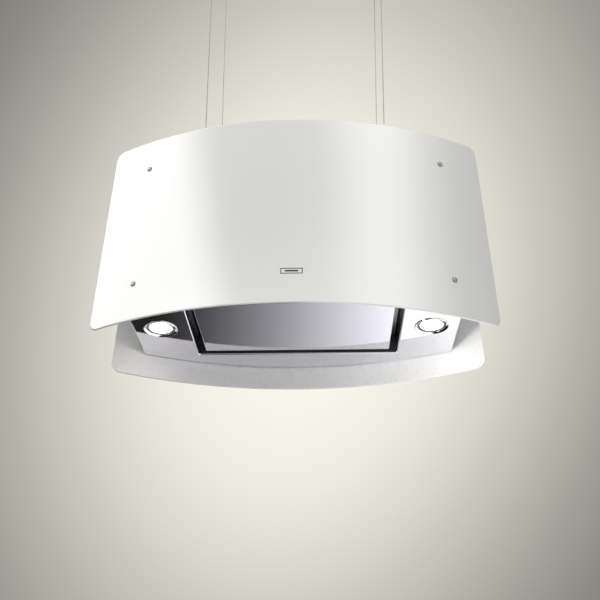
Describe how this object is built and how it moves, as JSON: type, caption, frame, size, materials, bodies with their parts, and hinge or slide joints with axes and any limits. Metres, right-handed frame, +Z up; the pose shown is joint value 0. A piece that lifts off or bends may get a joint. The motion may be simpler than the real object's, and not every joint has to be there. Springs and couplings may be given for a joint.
{
  "type": "island range hood",
  "caption": "Island range hood: bent white glass panels round a mirror-steel underside with a perimeter suction panel and round lamps, hung on taut steel wires.",
  "frame": {"origin": "on the ceiling plane, in the middle of the four ceiling fittings", "axes": "+X along the hood's width, to the right of someone who looks at the front glass; +Y from the front glass to the rear glass; +Z up"},
  "size_m": [0.899, 0.46, 1.4],
  "materials": {
    "white_glass": "clear toughened glass back-painted glossy white, opaque",
    "polished_steel": "mirror-polished stainless steel sheet",
    "satin_steel": "fine brushed stainless steel",
    "zinc_steel": "zinc-coated sheet steel, dull",
    "chrome": "bright polished",
    "aluminium": "plain mill finish",
    "black_plastic": "fine-grained moulded black plastic",
    "grey_plastic": "moulded dark grey plastic",
    "charcoal_fleece": "activated-charcoal fleece in a plastic frame",
    "lamp_opal": "opal diffuser, lit white",
    "wire_steel": "stranded stainless steel wire rope"
  },
  "bodies": {
    "root": {"front_glass": "white_glass", "rear_glass": "white_glass", "front_wall": "zinc_steel", "rear_wall": "zinc_steel", "glass_stud_front_lower_left": "chrome", "glass_stud_front_lower_right": "chrome", "glass_stud_front_upper_left": "chrome", "glass_stud_front_upper_right": "chrome", "glass_stud_rear_lower_left": "chrome", "glass_stud_rear_lower_right": "chrome", "glass_stud_rear_upper_left": "chrome", "glass_stud_rear_upper_right": "chrome", "bottom_tray": "polished_steel", "top_cover": "satin_steel", "end_panel_left": "satin_steel", "end_panel_right": "satin_steel", "panel_catch": "black_plastic", "filter_frame": "zinc_steel", "deck_plate": "zinc_steel", "control_box": "black_plastic", "charcoal_filter": "charcoal_fleece", "outlet_grille": "satin_steel", "cable_gland": "black_plastic", "motor": "zinc_steel", "hinge_bracket_left": "zinc_steel", "hinge_pin_left": "chrome", "grease_filter_left": "aluminium", "blower_housing_left": "grey_plastic", "lamp_bezel_left": "chrome", "lamp_lens_left": "lamp_opal", "lamp_housing_left": "aluminium", "hinge_bracket_right": "zinc_steel", "hinge_pin_right": "chrome", "grease_filter_right": "aluminium", "blower_housing_right": "grey_plastic", "lamp_bezel_right": "chrome", "lamp_lens_right": "lamp_opal", "lamp_housing_right": "aluminium", "wire_gripper_front_left": "satin_steel", "suspension_wire_front_left": "wire_steel", "ceiling_fitting_front_left": "satin_steel", "wire_gripper_rear_left": "satin_steel", "suspension_wire_rear_left": "wire_steel", "ceiling_fitting_rear_left": "satin_steel", "wire_gripper_front_right": "satin_steel", "suspension_wire_front_right": "wire_steel", "ceiling_fitting_front_right": "satin_steel", "wire_gripper_rear_right": "satin_steel", "suspension_wire_rear_right": "wire_steel", "ceiling_fitting_rear_right": "satin_steel"},
    "suction_flap": {"suction_panel": "polished_steel", "panel_backing": "zinc_steel"},
    "fan_rotor": {"impeller": "grey_plastic", "motor_shaft": "chrome"},
    "latch_left": {"filter_latch_left": "grey_plastic"},
    "latch_right": {"filter_latch_right": "grey_plastic"},
    "plunger_front_left": {"gripper_plunger_front_left": "chrome"},
    "plunger_rear_left": {"gripper_plunger_rear_left": "chrome"},
    "plunger_front_right": {"gripper_plunger_front_right": "chrome"},
    "plunger_rear_right": {"gripper_plunger_rear_right": "chrome"}
  },
  "joints": [
    {"name": "suction_panel_hinge", "type": "hinge", "parent": "root", "child": "suction_flap", "pos_m": [0, -0.13012, -1.333], "axis": [-1, 0, 0], "range_deg": [0, 85]},
    {"name": "fan_spin", "type": "hinge", "parent": "root", "child": "fan_rotor", "pos_m": [0, -0.01401, -1.12524], "axis": [1, 0, 0], "continuous": true},
    {"name": "filter_latch_slide_left", "type": "slide", "parent": "root", "child": "latch_left", "axis": [0, -1, 0], "range_m": [0, 0.006], "stiffness_N_per_m": 200, "springref_m": -0.004},
    {"name": "filter_latch_slide_right", "type": "slide", "parent": "root", "child": "latch_right", "axis": [0, -1, 0], "range_m": [0, 0.006], "stiffness_N_per_m": 200, "springref_m": -0.004},
    {"name": "gripper_release_front_left", "type": "slide", "parent": "root", "child": "plunger_front_left", "axis": [0, 0, -1], "range_m": [0, 0.003], "stiffness_N_per_m": 300, "springref_m": -0.003},
    {"name": "gripper_release_rear_left", "type": "slide", "parent": "root", "child": "plunger_rear_left", "axis": [0, 0, -1], "range_m": [0, 0.003], "stiffness_N_per_m": 300, "springref_m": -0.003},
    {"name": "gripper_release_front_right", "type": "slide", "parent": "root", "child": "plunger_front_right", "axis": [0, 0, -1], "range_m": [0, 0.003], "stiffness_N_per_m": 300, "springref_m": -0.003},
    {"name": "gripper_release_rear_right", "type": "slide", "parent": "root", "child": "plunger_rear_right", "axis": [0, 0, -1], "range_m": [0, 0.003], "stiffness_N_per_m": 300, "springref_m": -0.003}
  ]
}
